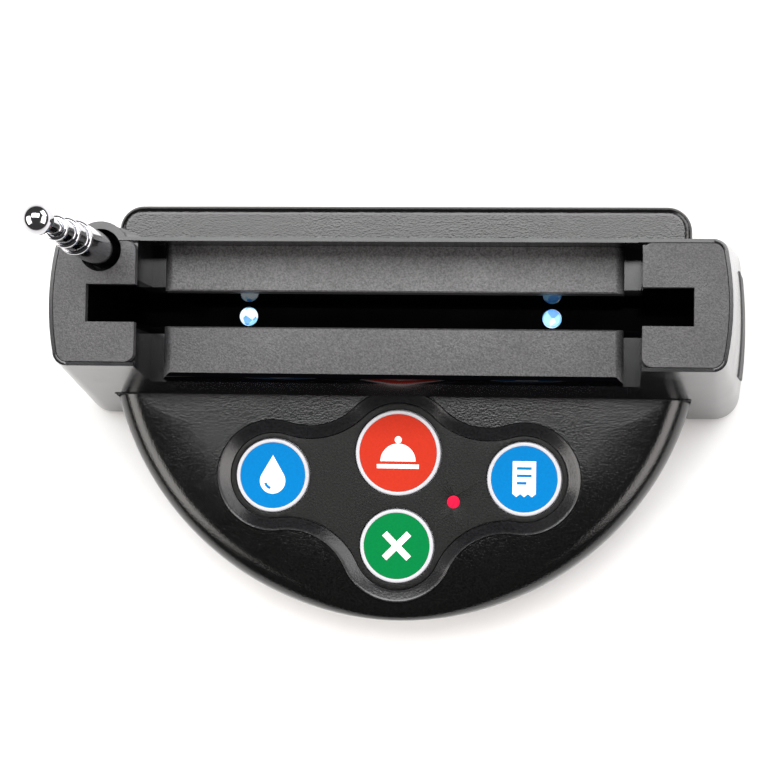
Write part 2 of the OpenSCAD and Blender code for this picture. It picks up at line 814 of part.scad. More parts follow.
holder_shell();
left_end_cap();
right_end_cap();
front_rail();
rear_rail();
slot_channel();
slot_leds();
led_board();
led_board_screws();
side_pads();
base_cover();
key_bezel();
key_plate();
base_pan();
battery_door();
rubber_feet();
battery_box();
batteries();
battery_springs();
battery_contacts();
main_board();
switch_bodies();
controller_chip();
chip_parts();
radio_board();
radio_shield();
crystal_can();
status_led();
status_window();
keycap(CALL);  // call_keycap
key_label(CALL);  // call_label
key_plunger(CALL);  // call_plunger
keycap(WATER);  // water_keycap
key_label(WATER);  // water_label
key_plunger(WATER);  // water_plunger
keycap(BILL);  // bill_keycap
key_label(BILL);  // bill_label
key_plunger(BILL);  // bill_plunger
keycap(CANCEL);  // cancel_keycap
key_label(CANCEL);  // cancel_label
key_plunger(CANCEL);  // cancel_plunger
antenna_tube();
antenna_bushing();
antenna_section_2();
antenna_section_3();
antenna_rod();
antenna_ball();
antenna_lug();
antenna_lead();
led_leads();
battery_leads();
case_screws();
holder_screws();
board_screws();
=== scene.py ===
import math

import bmesh
import bpy
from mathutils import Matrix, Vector


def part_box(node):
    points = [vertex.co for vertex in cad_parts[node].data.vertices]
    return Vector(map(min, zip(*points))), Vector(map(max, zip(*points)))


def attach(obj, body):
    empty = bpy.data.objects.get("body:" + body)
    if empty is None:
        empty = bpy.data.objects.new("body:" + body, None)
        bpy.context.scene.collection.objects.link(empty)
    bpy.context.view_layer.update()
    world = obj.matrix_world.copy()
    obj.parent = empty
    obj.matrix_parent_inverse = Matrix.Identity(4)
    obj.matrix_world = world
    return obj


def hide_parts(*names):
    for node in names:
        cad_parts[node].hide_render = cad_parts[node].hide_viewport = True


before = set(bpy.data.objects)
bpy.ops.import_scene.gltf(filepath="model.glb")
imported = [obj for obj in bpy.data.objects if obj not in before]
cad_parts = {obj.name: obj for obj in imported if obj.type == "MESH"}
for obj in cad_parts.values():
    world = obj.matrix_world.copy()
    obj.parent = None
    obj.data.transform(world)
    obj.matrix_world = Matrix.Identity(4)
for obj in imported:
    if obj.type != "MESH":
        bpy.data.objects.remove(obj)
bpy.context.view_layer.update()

# Looks of a table-top call pager with a lit card holder. Sizes are millimetres until a mesh is made.

MM = 0.001
JOIN_DISTANCE = 1e-7


def cad_box(node):
    """Lowest and highest corners of a CAD node, in millimetres."""
    lo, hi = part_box(node)
    return lo / MM, hi / MM


# ---------------------------------------------------------------- materials

def material(name, colour, roughness, *, metallic=0.0, grain=0.35, speckle=0.12, bump=0.1, depth=0.03,
             coat=0.0, ior=1.5, glow=None, glow_strength=0.0, stretch=(1, 1, 1)):
    """A Principled material whose colour, roughness and surface vary with a grain this many millimetres wide."""
    made = bpy.data.materials.new(name)
    made.use_nodes = True
    nodes, links = made.node_tree.nodes, made.node_tree.links
    shader = nodes["Principled BSDF"]
    shader.inputs["Metallic"].default_value = metallic
    shader.inputs["IOR"].default_value = ior
    shader.inputs["Coat Weight"].default_value = coat
    shader.inputs["Coat Roughness"].default_value = 0.08
    if glow:
        shader.inputs["Emission Color"].default_value = (*glow, 1)
        shader.inputs["Emission Strength"].default_value = glow_strength
    place = nodes.new("ShaderNodeTexCoord")
    scale = nodes.new("ShaderNodeMapping")
    scale.inputs["Scale"].default_value = stretch
    links.new(place.outputs["Object"], scale.inputs["Vector"])

    def noise(size, detail):
        node = nodes.new("ShaderNodeTexNoise")
        node.inputs["Scale"].default_value = 1 / (size * MM)
        node.inputs["Detail"].default_value = detail
        links.new(scale.outputs["Vector"], node.inputs["Vector"])
        return node.outputs["Fac"]

    fine, broad = noise(grain, 3), noise(9, 2)
    tone = nodes.new("ShaderNodeValToRGB")
    tone.color_ramp.elements[0].position = 0.3
    tone.color_ramp.elements[1].position = 0.7
    tone.color_ramp.elements[0].color = (*[max(0, c * (1 - speckle)) for c in colour], 1)
    tone.color_ramp.elements[1].color = (*[min(1, c * (1 + speckle)) for c in colour], 1)
    links.new(fine, tone.inputs["Fac"])
    links.new(tone.outputs["Color"], shader.inputs["Base Color"])
    rough = nodes.new("ShaderNodeMapRange")
    rough.inputs["From Min"].default_value = 0.3
    rough.inputs["From Max"].default_value = 0.7
    rough.inputs["To Min"].default_value = roughness * 0.85
    rough.inputs["To Max"].default_value = min(1, roughness * 1.15)
    links.new(broad, rough.inputs["Value"])
    links.new(rough.outputs["Result"], shader.inputs["Roughness"])
    if bump:
        relief = nodes.new("ShaderNodeBump")
        relief.inputs["Strength"].default_value = bump
        relief.inputs["Distance"].default_value = depth * MM
        links.new(fine, relief.inputs["Height"])
        links.new(relief.outputs["Normal"], shader.inputs["Normal"])
    return made


GLOSS = material("gloss_black", (0.007, 0.007, 0.008), 0.16, grain=1.6, bump=0.12, depth=0.02)
SATIN = material("satin_black", (0.003, 0.003, 0.003), 0.13, grain=0.36, speckle=0.9, bump=0.9, depth=0.055,
                 ior=1.5)
MATTE = material("matte_grey", (0.052, 0.051, 0.053), 0.42, grain=0.36, speckle=0.6, bump=0.8, depth=0.07,
                 ior=1.5)
# The end caps' grey is a darker copy of the rails' plastic: painted shade, not a different plastic.
CAP_MATTE_PAINTED_SHADE = material("matte_grey_caps_painted_shade", (0.041, 0.04, 0.042), 0.42, grain=0.36, speckle=0.6, bump=0.8,
                     depth=0.07)
# The rear rail's grey is a lighter copy of the rails' plastic: painted light that makes up for the shade of the rim
# behind it.
REAR_MATTE_PAINTED_LIGHT = material("matte_grey_rear_painted_light", (0.072, 0.071, 0.073), 0.42, grain=0.36, speckle=0.6, bump=0.8,
                      depth=0.07)
PLATE = material("plate_black", (0.0065, 0.0065, 0.0062), 0.4, grain=0.4, speckle=0.8, bump=0.8, depth=0.05,
                 ior=1.26)
RIM = material("rim_black", (0.009, 0.009, 0.01), 0.26, grain=0.45, speckle=0.6, bump=0.6, depth=0.06,
               ior=1.52)
LINER = material("liner_black", (0.001, 0.001, 0.0015), 0.07, grain=1.2, bump=0.05, depth=0.01, ior=1.07)
UNDER = material("under_black", (0.02, 0.02, 0.021), 0.55, grain=0.5, speckle=0.3, bump=0.5, depth=0.06)
PAD = material("pad_rubber", (0.035, 0.036, 0.037), 0.62, grain=0.3, speckle=0.25, bump=0.5, depth=0.05)
FOOT = material("foot_rubber", (0.05, 0.05, 0.052), 0.75, grain=0.4, speckle=0.2, bump=0.6, depth=0.06)
WHITE = material("key_white", (0.5, 0.5, 0.53), 0.3, grain=0.8, speckle=0.03, bump=0.1, depth=0.02)
PRINT = material("print_white", (0.88, 0.88, 0.88), 0.35, grain=0.3, speckle=0.03, bump=0.15, depth=0.01)
RED = material("label_red", (0.48, 0.03, 0.013), 0.45, grain=0.5, speckle=0.05, bump=0.12, depth=0.02,
               ior=1.12)
BLUE = material("label_blue", (0.0, 0.168, 0.45), 0.45, grain=0.5, speckle=0.05, bump=0.12, depth=0.02,
                ior=1.12)
GREEN = material("label_green", (0.0, 0.172, 0.042), 0.45, grain=0.5, speckle=0.05, bump=0.12, depth=0.02,
                 ior=1.12)
CHROME = material("chrome", (0.52, 0.52, 0.54), 0.1, metallic=1.0, grain=2.0, speckle=0.04, bump=0.02,
                  depth=0.01)
STEEL = material("steel", (0.56, 0.57, 0.6), 0.32, metallic=1.0, grain=0.3, speckle=0.1, bump=0.2, depth=0.02)
BRASS = material("brass", (0.62, 0.43, 0.16), 0.34, metallic=1.0, grain=0.3, speckle=0.1, bump=0.2,
                 depth=0.02)
BOARD = material("board_green", (0.012, 0.09, 0.035), 0.4, grain=0.8, speckle=0.2, bump=0.2, depth=0.03)
BOARD_BLUE = material("board_blue", (0.012, 0.05, 0.2), 0.4, grain=0.8, speckle=0.2, bump=0.2, depth=0.03)
CHIP = material("chip_black", (0.012, 0.012, 0.013), 0.5, grain=0.3, speckle=0.3, bump=0.4, depth=0.03)
WIRE_RED = material("wire_red", (0.35, 0.02, 0.015), 0.45, grain=0.5, speckle=0.1, bump=0.2, depth=0.03)
WIRE_BLACK = material("wire_black", (0.015, 0.015, 0.015), 0.45, grain=0.5, speckle=0.1, bump=0.2, depth=0.03)
CELL = material("cell_wrap", (0.05, 0.2, 0.09), 0.25, grain=1.5, speckle=0.08, bump=0.15, depth=0.03)
PART = material("part_tan", (0.35, 0.24, 0.12), 0.5, grain=0.3, speckle=0.2, bump=0.3, depth=0.03)
LED = material("led_clear", (0.25, 0.45, 0.6), 0.12, grain=0.6, speckle=0.1, bump=0.1, depth=0.02,
               glow=(0.3, 0.75, 1.0), glow_strength=1.0)
STATUS = material("window_red", (0.62, 0.004, 0.035), 0.4, grain=0.3, speckle=0.05, bump=0.1, depth=0.02,
                  ior=1.2, glow=(1.0, 0.0, 0.045), glow_strength=0.3)


def facet_glow(look, size, tones):
    """Breaks a lit lens into facets this many millimetres wide, each with its own share of the tones."""
    nodes, links = look.node_tree.nodes, look.node_tree.links
    place = nodes.new("ShaderNodeTexCoord")
    cells = nodes.new("ShaderNodeTexVoronoi")
    cells.inputs["Scale"].default_value = 1 / (size * MM)
    links.new(place.outputs["Object"], cells.inputs["Vector"])
    tint = nodes.new("ShaderNodeValToRGB")
    tint.color_ramp.interpolation = "CONSTANT"
    tint.color_ramp.elements.remove(tint.color_ramp.elements[1])
    tint.color_ramp.elements[0].color = (*tones[0], 1)
    for i, tone in enumerate(tones[1:], 1):
        tint.color_ramp.elements.new(i / len(tones)).color = (*tone, 1)
    links.new(cells.outputs["Color"], tint.inputs["Fac"])
    links.new(tint.outputs["Color"], look.node_tree.nodes["Principled BSDF"].inputs["Emission Color"])


facet_glow(LED, 1.7, [(0.05, 0.3, 0.9), (0.35, 0.75, 1.0), (0.9, 0.97, 1.0), (0.15, 0.5, 0.95)])

# ---------------------------------------------------------------- making pieces


def clean(mesh):
    """Joins doubled points and turns every face outwards."""
    made = bmesh.new()
    made.from_mesh(mesh)
    bmesh.ops.remove_doubles(made, verts=made.verts, dist=JOIN_DISTANCE)
    bmesh.ops.recalc_face_normals(made, faces=made.faces)
    made.to_mesh(mesh)
    made.free()


def new_mesh(name, verts, faces):
    """A mesh from millimetre points."""
    mesh = bpy.data.meshes.new(name)
    mesh.from_pydata([Vector(v) * MM for v in verts], [], faces)
    return mesh


def piece(name, verts, faces, look, body, replaces=(), slot=None):
    """A mesh piece from millimetre points, smooth shaded, riding on a body."""
    finish_mesh(name, new_mesh(name, verts, faces), look, body, replaces)


def finish_mesh(name, mesh, look, body, replaces=()):
    """Makes a piece of a mesh: cleaned, given its material, body and replaced nodes, and smoothed."""
    clean(mesh)
    mesh.materials.append(look)
    obj = bpy.data.objects.new(name, mesh)
    bpy.context.scene.collection.objects.link(obj)
    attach(obj, body)
    if replaces:
        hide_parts(*replaces)
    smooth(obj)


def smooth(obj, angle=40):
    """Smooth shading with the sharp edges kept, weighted so that flat faces stay flat."""
    for polygon in obj.data.polygons:
        polygon.use_smooth = True
    obj.data.set_sharp_from_angle(angle=math.radians(angle))
    normals = obj.modifiers.new("normals", "WEIGHTED_NORMAL")
    normals.keep_sharp = True


def soften(obj, width, angle=32, segments=3):
    """Rounds the sharp edges of a CAD node's look, and smooths its facets."""
    for polygon in obj.data.polygons:
        polygon.use_smooth = True
    weld = obj.modifiers.new("weld", "WELD")
    weld.merge_threshold = 2e-6
    bevel = obj.modifiers.new("bevel", "BEVEL")
    bevel.width = width * MM
    bevel.segments = segments
    bevel.limit_method = "ANGLE"
    bevel.angle_limit = math.radians(angle)
    bevel.use_clamp_overlap = True
    bevel.harden_normals = False
    obj.modifiers.new("normals", "WEIGHTED_NORMAL")


def loft(loops, closed=False, capped=False):
    """Quads through closed loops of points; closed joins the last loop to the first, capped fills both ends."""
    count = len(loops[0])
    verts = [p for loop in loops for p in loop]
    faces = []
    for row in range(len(loops) if closed else len(loops) - 1):
        a, b = row * count, ((row + 1) % len(loops)) * count
        faces += [(a + i, a + (i + 1) % count, b + (i + 1) % count, b + i) for i in range(count)]
    if capped:
        faces.append(tuple(range(count)))
        faces.append(tuple(range((len(loops) - 1) * count, len(loops) * count)))
    return verts, faces


def lathe(profile, centre, steps=96, closed=False):
    """A profile of (radius, z) turned about a vertical line."""
    turn = [(math.cos(2 * math.pi * i / steps), math.sin(2 * math.pi * i / steps)) for i in range(steps)]
    return loft([[(centre[0] + r * c, centre[1] + r * s, z) for c, s in turn] for r, z in profile],
                closed=closed, capped=not closed)


def quarter(cx, cz, r, start, steps=6):
    """Points of a quarter round in a (radius, z) profile, anticlockwise from a start angle in degrees."""
    return [(cx + r * math.cos(math.radians(start + 90 * i / steps)),
             cz + r * math.sin(math.radians(start + 90 * i / steps))) for i in range(steps + 1)]


# ---------------------------------------------------------------- base

base_lo, base_hi = cad_box("base_cover")
plate_lo, plate_hi = cad_box("key_plate")
SLOT_Y = 21.0
LIGHT_WINDOW_X = 58
LIGHT_WINDOW_HW = 6.5
POCKET_GAP = 0.07
DECK_Z = base_hi.z
BASE_HW = base_hi.x
BASE_R = 67.0
BASE_CY = base_lo.y + BASE_R
BASE_REAR = base_hi.y
BASE_WALL = 2.2
SHOULDER_R = 6.0
SHOULDER_FRONT_R = 3.4
SHOULDER_BLEND = math.radians(25)
DECK_FALL = 1.3
FALL_START = 16.0
REAR_EDGE_R = 2.0
WING_FRONT = 3.4
WING_EDGE_R = 0.4
REAR_CORNER_R = 5.5
BEZEL_OUT = 2.8
PLATE_TOP = plate_hi.z
PLATE_UNDER = plate_lo.z

KEYS = ["call", "water", "cancel", "bill"]
key_centre = {}
key_radius = {}
for key in KEYS:
    lo, hi = cad_box(key + "_keycap")
    key_centre[key] = Vector(((lo.x + hi.x) / 2, (lo.y + hi.y) / 2))
    key_radius[key] = (hi.x - lo.x) / 2 - 0.5
KEY_TOP = cad_box("call_keycap")[1].z
LOBE_R = {"call": 11.3, "water": 9.7, "cancel": 9.85, "bill": 9.7}
NECK_R = 17.0


def neck_centre(a, b):
    """Centre of the hollow that touches two neighbouring lobes of the pocket."""
    between = key_centre[b] - key_centre[a]
    length = between.length
    ra, rb = LOBE_R[a] + NECK_R, LOBE_R[b] + NECK_R
    along = (ra * ra - rb * rb + length * length) / (2 * length)
    unit = between / length
    return key_centre[a] + unit * along + Vector((unit.y, -unit.x)) * math.sqrt(ra * ra - along * along)


def heading(v):
    return math.atan2(v.y, v.x)


def pocket(grow, steps=36):
    """The pocket's outline grown by so much: a lobe round each key and a hollow after each lobe."""
    points = []
    for i, key in enumerate(KEYS):
        after_key = KEYS[(i + 1) % 4]
        before, after = neck_centre(KEYS[i - 1], key), neck_centre(key, after_key)
        a0, a1 = heading(before - key_centre[key]), heading(after - key_centre[key])
        a1 += 2 * math.pi if a1 < a0 else 0
        b0, b1 = heading(key_centre[key] - after), heading(key_centre[after_key] - after)
        b0 += 2 * math.pi if b0 < b1 else 0
        lobe, neck = LOBE_R[key] + grow, NECK_R - grow
        for s in range(steps):
            a = a0 + (a1 - a0) * s / steps
            points.append((key_centre[key].x + lobe * math.cos(a), key_centre[key].y + lobe * math.sin(a)))
        for s in range(steps):
            b = b0 + (b1 - b0) * s / steps
            points.append((after.x + neck * math.cos(b), after.y + neck * math.sin(b)))
    return points


def at_height(points, z):
    return [(x, y, z) for x, y in points]


def ease(t):
    t = max(0, min(1, t))
    return t * t * (3 - 2 * t)


def base_outline():
    """The base's outline, anticlockwise.

    Each entry holds the point, its outward direction, the radius of the edge above it, and its share of the
    deck's fall. The edge is sharp behind WING_FRONT, where it fills the square cut in the holder's wings.
    """
    reach = math.asin(BASE_HW / BASE_R)
    corner_y = BASE_REAR - REAR_CORNER_R
    corner_x = BASE_HW - REAR_CORNER_R
    right = []
    for i in range(73):
        a = reach * i / 72
        edge = SHOULDER_FRONT_R + (SHOULDER_R - SHOULDER_FRONT_R) * ease(a / SHOULDER_BLEND)
        point = (BASE_R * math.sin(a), BASE_CY - BASE_R * math.cos(a))
        right.append((point, (math.sin(a), -math.cos(a)), edge, 1 - ease((a / reach - 0.8) / 0.2)))
    right.append(((BASE_HW, WING_FRONT - 0.05), (1, 0), SHOULDER_R, 0))
    for i in range(9):
        t = i / 9
        edge = WING_EDGE_R + (REAR_EDGE_R - WING_EDGE_R) * ease(t)
        right.append(((BASE_HW, WING_FRONT + (corner_y - WING_FRONT) * t), (1, 0), edge, 0))
    for i in range(13):
        a = math.radians(90 * i / 12)
        right.append(((corner_x + REAR_CORNER_R * math.cos(a), corner_y + REAR_CORNER_R * math.sin(a)),
                      (math.cos(a), math.sin(a)), REAR_EDGE_R, 0))
    for i in range(1, 8):
        right.append(((corner_x * (1 - i / 8), BASE_REAR), (0, 1), REAR_EDGE_R, 0))
    left = [((-x, y), (-nx, ny), edge, share) for (x, y), (nx, ny), edge, share in reversed(right)]
    return right + [((0, BASE_REAR), (0, 1), REAR_EDGE_R, 0)] + left[:-1]


def fall(inset):
    """How far the deck has fallen at so far in from the round front."""
    return DECK_FALL * max(0, 1 - inset / FALL_START) ** 2


def deck_fall(x, y):
    return fall(BASE_R - math.hypot(x, y - BASE_CY))


def edge_loop(inset, z):
    """A loop of the base at an inset and a height below the shoulder."""
    return [(x - nx * inset, y - ny * inset, z) for (x, y), (nx, ny), edge, share in base_outline()]


def shoulder_loop(a):
    """A loop round the shoulder, at an angle from 0 at the wall to 90 degrees at the deck."""
    loop = []
    for (x, y), (nx, ny), edge, share in base_outline():
        d = edge * (1 - math.cos(a))
        loop.append((x - nx * d, y - ny * d, DECK_Z - share * fall(edge) * math.sin(a) - edge * (1 - math.sin(a))))
    return loop


def deck_loop(t):
    """A loop of the deck, from the shoulder at 0 to where the fall starts at 1."""
    loop = []
    for (x, y), (nx, ny), edge, share in base_outline():
        d = edge + 0.1 + (FALL_START - edge) * share * t
        loop.append((x - nx * d, y - ny * d, DECK_Z - share * fall(d)))
    return loop


def prism(loop, z0, z1):
    """A plain solid with vertical sides, to cut with."""
    mesh = new_mesh("cutter", *loft([at_height(loop, z0), at_height(loop, z1)], capped=True))
    clean(mesh)
    cutter = bpy.data.objects.new("cutter", mesh)
    bpy.context.scene.collection.objects.link(cutter)
    return cutter


def cut(mesh, cutters):
    """The mesh with the cutters taken away. The cutters are removed."""
    body = bpy.data.objects.new("uncut", mesh)
    bpy.context.scene.collection.objects.link(body)
    for cutter in cutters:
        knife = body.modifiers.new("cut", "BOOLEAN")
        knife.operation = "DIFFERENCE"
        knife.solver = "EXACT"
        knife.object = cutter
    result = bpy.data.meshes.new_from_object(body.evaluated_get(bpy.context.evaluated_depsgraph_get()))
    for done in [body, *cutters]:
        bpy.data.objects.remove(done)
    return result


def base_shell():
    """The base's cover: a thin shell open below, with the key pocket and the window of the slot's lights cut out."""
    under = DECK_Z - BASE_WALL
    loops = [edge_loop(4.6, under), edge_loop(BASE_WALL, under - 2.4), edge_loop(BASE_WALL, base_lo.z),
             edge_loop(0.35, base_lo.z), edge_loop(0, base_lo.z + 0.35)]
    loops += [shoulder_loop(math.radians(90 * i / 12)) for i in range(13)]
    loops += [deck_loop(i / 8) for i in range(9)]
    rear, front = SLOT_Y + LIGHT_WINDOW_HW, SLOT_Y - LIGHT_WINDOW_HW
    window = [(LIGHT_WINDOW_X, front), (LIGHT_WINDOW_X, rear), (-LIGHT_WINDOW_X, rear), (-LIGHT_WINDOW_X, front)]
    cutters = [prism(outline, under - 3, DECK_Z + 3) for outline in (pocket(BEZEL_OUT + POCKET_GAP), window)]
    uncut = new_mesh("base_solid", *loft(loops, capped=True))
    clean(uncut)
    shell = cut(uncut, cutters)
    shell.name = "base_shell"
    finish_mesh("base_shell", shell, SATIN, "root", ["base_cover"])


base_shell()

# The pocket's sloped rim, with a rounded outer edge and a soft foot
rim_low = cad_box("key_bezel")[0].z
rim_profile = [(BEZEL_OUT, rim_low), (BEZEL_OUT, DECK_Z - 0.3), (BEZEL_OUT - 0.06, DECK_Z - 0.12),
               (BEZEL_OUT - 0.2, DECK_Z - 0.04), (BEZEL_OUT - 0.5, DECK_Z - 0.16), (BEZEL_OUT - 0.8, DECK_Z - 0.34),
               (0.62, PLATE_TOP + 0.36), (0.4, PLATE_TOP + 0.2), (0.2, PLATE_TOP + 0.08),
               (0.06, PLATE_TOP), (0, PLATE_TOP - 0.06), (0, PLATE_UNDER),
               (-0.7, PLATE_UNDER), (-0.7, rim_low)]


def rim_loop(grow, z):
    """A loop of the rim, which falls with the deck."""
    share = max(0, (z - PLATE_TOP) / (DECK_Z - PLATE_TOP))
    return [(x, y, z - share * deck_fall(x, y)) for x, y in pocket(grow)]


piece("pocket_rim", *loft([rim_loop(g, z) for g, z in rim_profile], closed=True),
      RIM, "root", ["key_bezel"], "housing_matte")


PLATE_GAP = 0.15
KEY_GAP = 0.25
WINDOW_HOLE_R = 1.42


def fill_level(made, z):
    """Fills the open edges that lie at one height, holes left open."""
    edges = [e for e in made.edges if e.is_boundary and all(abs(v.co.z - z * MM) < 1e-7 for v in e.verts)]
    bmesh.ops.triangle_fill(made, use_beauty=True, edges=edges)


def key_circle(centre, r, z, steps=72):
    return [(centre.x + r * math.cos(2 * math.pi * i / steps), centre.y + r * math.sin(2 * math.pi * i / steps), z)
            for i in range(steps)]


def pocket_floor():
    """The key plate with its key holes and the status window's hole, all with broken edges."""
    lo, hi = cad_box("status_window")
    holes = [(key_centre[k], key_radius[k] + KEY_GAP) for k in KEYS]
    holes.append((Vector(((lo.x + hi.x) / 2, (lo.y + hi.y) / 2)), WINDOW_HOLE_R))
    parts = [[at_height(pocket(-PLATE_GAP - 0.2), PLATE_TOP), at_height(pocket(-PLATE_GAP - 0.06), PLATE_TOP - 0.06),
              at_height(pocket(-PLATE_GAP), PLATE_TOP - 0.2), at_height(pocket(-PLATE_GAP), PLATE_UNDER)]]
    for centre, r in holes:
        parts.append([key_circle(centre, r + 0.15, PLATE_TOP), key_circle(centre, r + 0.04, PLATE_TOP - 0.04),
                      key_circle(centre, r, PLATE_TOP - 0.15), key_circle(centre, r, PLATE_UNDER)])
    made = bmesh.new()
    for loops in parts:
        rows = [[made.verts.new(Vector(p) * MM) for p in loop] for loop in loops]
        for a, b in zip(rows, rows[1:]):
            for i in range(len(a)):
                j = (i + 1) % len(a)
                made.faces.new((a[i], a[j], b[j], b[i]))
    fill_level(made, PLATE_TOP)
    fill_level(made, PLATE_UNDER)
    mesh = bpy.data.meshes.new("pocket_floor")
    made.to_mesh(mesh)
    made.free()
    finish_mesh("pocket_floor", mesh, PLATE, "root", ["key_plate"])


pocket_floor()

# ---------------------------------------------------------------- keys

RING_W = 0.85
LABEL_LOOK = {"call": RED, "water": BLUE, "bill": BLUE, "cancel": GREEN}
LABEL_SLOT = {"call": "label_red", "water": "label_blue", "bill": "label_blue", "cancel": "label_green"}
LABEL_DEPTH = 0.6
LABEL_DROP = 0.05
PRINT_RISE = 0.012
PRINT_HALF_THICKNESS = 0.015


def arc(cx, cy, r, a0, a1, steps=24):
    """Points of an arc, angles in degrees."""
    return [(cx + r * math.cos(math.radians(a0 + (a1 - a0) * i / steps)),
             cy + r * math.sin(math.radians(a0 + (a1 - a0) * i / steps))) for i in range(steps + 1)]


def bar(x0, y0, x1, y1):
    return [(x0, y0), (x1, y0), (x1, y1), (x0, y1)]


def bell():
    """A counter bell: dome, foot and button."""
    return [arc(0, -0.2, 0.42, 0, 180), bar(-0.5, -0.37, 0.5, -0.27), arc(0, 0.31, 0.085, 0, 345, 20)]


def drop():
    """A water drop with a curved highlight left open."""
    r, cy, tip = 0.32, -0.14, 0.5
    edge = math.degrees(math.acos(r / (tip - cy)))
    outline = [(0, tip)] + arc(0, cy, r, 90 + edge, 450 - edge, 40)
    glint = arc(0, cy, 0.22, 195, 255, 14) + arc(0, cy, 0.155, 255, 195, 14)
    return [outline, glint]


def receipt():
    """A bill with a torn foot and three lines left open."""
    foot = [(0.3 - 0.1 * i, -0.46 if i % 2 else -0.38) for i in range(7)]
    return [[(-0.3, 0.46), (0.3, 0.46)] + foot, bar(-0.19, 0.24, 0.19, 0.31), bar(-0.19, 0.05, 0.19, 0.12),
            bar(-0.19, -0.14, 0.06, -0.07)]


def cross():
    w, l = 0.085, 0.46
    plus = [(w, w), (l, w), (l, -w), (w, -w), (w, -l), (-w, -l),
            (-w, -w), (-l, -w), (-l, w), (-w, w), (-w, l), (w, l)]
    c = math.sqrt(0.5)
    return [[(c * (x - y), c * (x + y)) for x, y in plus]]


ICON = {"call": (bell, 9.4), "water": (drop, 9.0), "bill": (receipt, 8.6), "cancel": (cross, 8.4)}


def icon(key):
    """A key's printed pictogram: flat outlines, inner ones left open, raised by a hair."""
    outlines, size = ICON[key][0](), ICON[key][1]
    curve = bpy.data.curves.new(key + "_icon", "CURVE")
    curve.dimensions = "2D"
    curve.fill_mode = "BOTH"
    curve.extrude = PRINT_HALF_THICKNESS * MM
    for points in outlines:
        spline = curve.splines.new("POLY")
        spline.points.add(len(points) - 1)
        spline.use_cyclic_u = True
        for point, (x, y) in zip(spline.points, points):
            point.co = (x * size * MM, y * size * MM, 0, 1)
    flat = bpy.data.objects.new(key + "_outline", curve)
    mesh = bpy.data.meshes.new_from_object(flat)
    bpy.data.objects.remove(flat)
    centre = key_centre[key]
    top = KEY_TOP - LABEL_DROP + PRINT_RISE
    for v in mesh.vertices:
        v.co += Vector((centre.x, centre.y, top)) * MM
    finish_mesh(key + "_pictogram", mesh, PRINT, key + "_key", ())


for key in KEYS:
    c, r = key_centre[key], key_radius[key]
    flange_top = PLATE_UNDER - 0.05
    cap_low = cad_box(key + "_keycap")[0].z
    inner = r - RING_W
    profile = [(2, cap_low), (2, flange_top - 1), (r + 0.5, flange_top - 1), (r + 0.5, flange_top), (r, flange_top)]
    profile += quarter(r - 0.35, KEY_TOP - 0.35, 0.35, 0)
    profile += quarter(inner + 0.12, KEY_TOP - 0.12, 0.12, 90, 3)
    profile += [(inner, KEY_TOP - LABEL_DEPTH)]
    piece(key + "_cap", *lathe(profile, c), WHITE, key + "_key", [key + "_keycap"], "key_white")
    top = KEY_TOP - LABEL_DROP
    edge = inner - 0.02
    label = [(edge, KEY_TOP - LABEL_DEPTH), (edge, top - 0.08), (edge - 0.025, top - 0.025), (edge - 0.08, top)]
    piece(key + "_disc", *lathe(label, c), LABEL_LOOK[key], key + "_key", [key + "_label"], LABEL_SLOT[key])
    icon(key)

# ---------------------------------------------------------------- antenna

tube_lo, tube_hi = cad_box("antenna_tube")
ANTENNA = ((tube_lo.x + tube_hi.x) / 2, (tube_lo.y + tube_hi.y) / 2)
STAGES = [("antenna_tube", "root", 3.45), ("antenna_section_2", "antenna_stage_2", 2.95),
          ("antenna_section_3", "antenna_stage_3", 2.4), ("antenna_rod", "antenna_stage_4", 1.6)]
TUBE_WALL = 0.35
COLLAR_H = 5.0

for i, (node, body, r) in enumerate(STAGES):
    lo, hi = cad_box(node)
    low, top = lo.z, hi.z
    outside = [(r, low)]
    if i:
        grip = STAGES[i - 1][2] - TUBE_WALL - 0.03
        outside = [(grip - 0.15, low), (grip, low + 0.3), (grip, low + COLLAR_H - 0.4), (r, low + COLLAR_H)]
    if i < 3:
        bore = STAGES[i + 1][2] + 0.03
        lip = [(r, top - 1.5), (r - 0.1, top - 1.38), (r - 0.1, top - 1.2), (r + 0.02, top - 1.05),
               (r + 0.11, top - 0.85), (r + 0.13, top - 0.6), (r + 0.08, top - 0.35), (r - 0.03, top - 0.14),
               (r - 0.2, top - 0.03), (bore + 0.12, top), (bore, top - 0.12), (bore, top - 1.0),
               (r - TUBE_WALL, top - 1.05), (r - TUBE_WALL, low)]
        piece(node + "_look", *lathe(outside + lip, ANTENNA, closed=True), CHROME, body, [node], "chrome")
    else:
        rod = [(r, top - 0.9), (r + 0.35, top - 0.75), (r + 0.45, top - 0.4), (r + 0.3, top)]
        piece(node + "_look", *lathe(outside + rod, ANTENNA), CHROME, body, [node], "chrome")

ball_lo, ball_hi = cad_box("antenna_ball")
ball_r = (ball_hi.x - ball_lo.x) / 2
ball_z = ball_hi.z - ball_r
ball = [(ball_r * math.cos(math.radians(a)), ball_z + ball_r * math.sin(math.radians(a)))
        for a in [-66 + 3 * i for i in range(52)]] + [(0.02, ball_hi.z)]
piece("antenna_ball_look", *lathe(ball, ANTENNA), CHROME, "antenna_stage_4", ["antenna_ball"], "chrome")

# ---------------------------------------------------------------- battery springs


def tube(points, r, sides=12):
    """A round wire along points, with closed ends."""
    loops = []
    side = Vector((0, 0, 1))
    for i, p in enumerate(points):
        ahead = points[min(i + 1, len(points) - 1)] - points[max(i - 1, 0)]
        ahead.normalize()
        side = (side - ahead * side.dot(ahead)).normalized()
        up = ahead.cross(side)
        loops.append([p + r * (math.cos(2 * math.pi * k / sides) * side + math.sin(2 * math.pi * k / sides) * up)
                      for k in range(sides)])
    return loft(loops, capped=True)


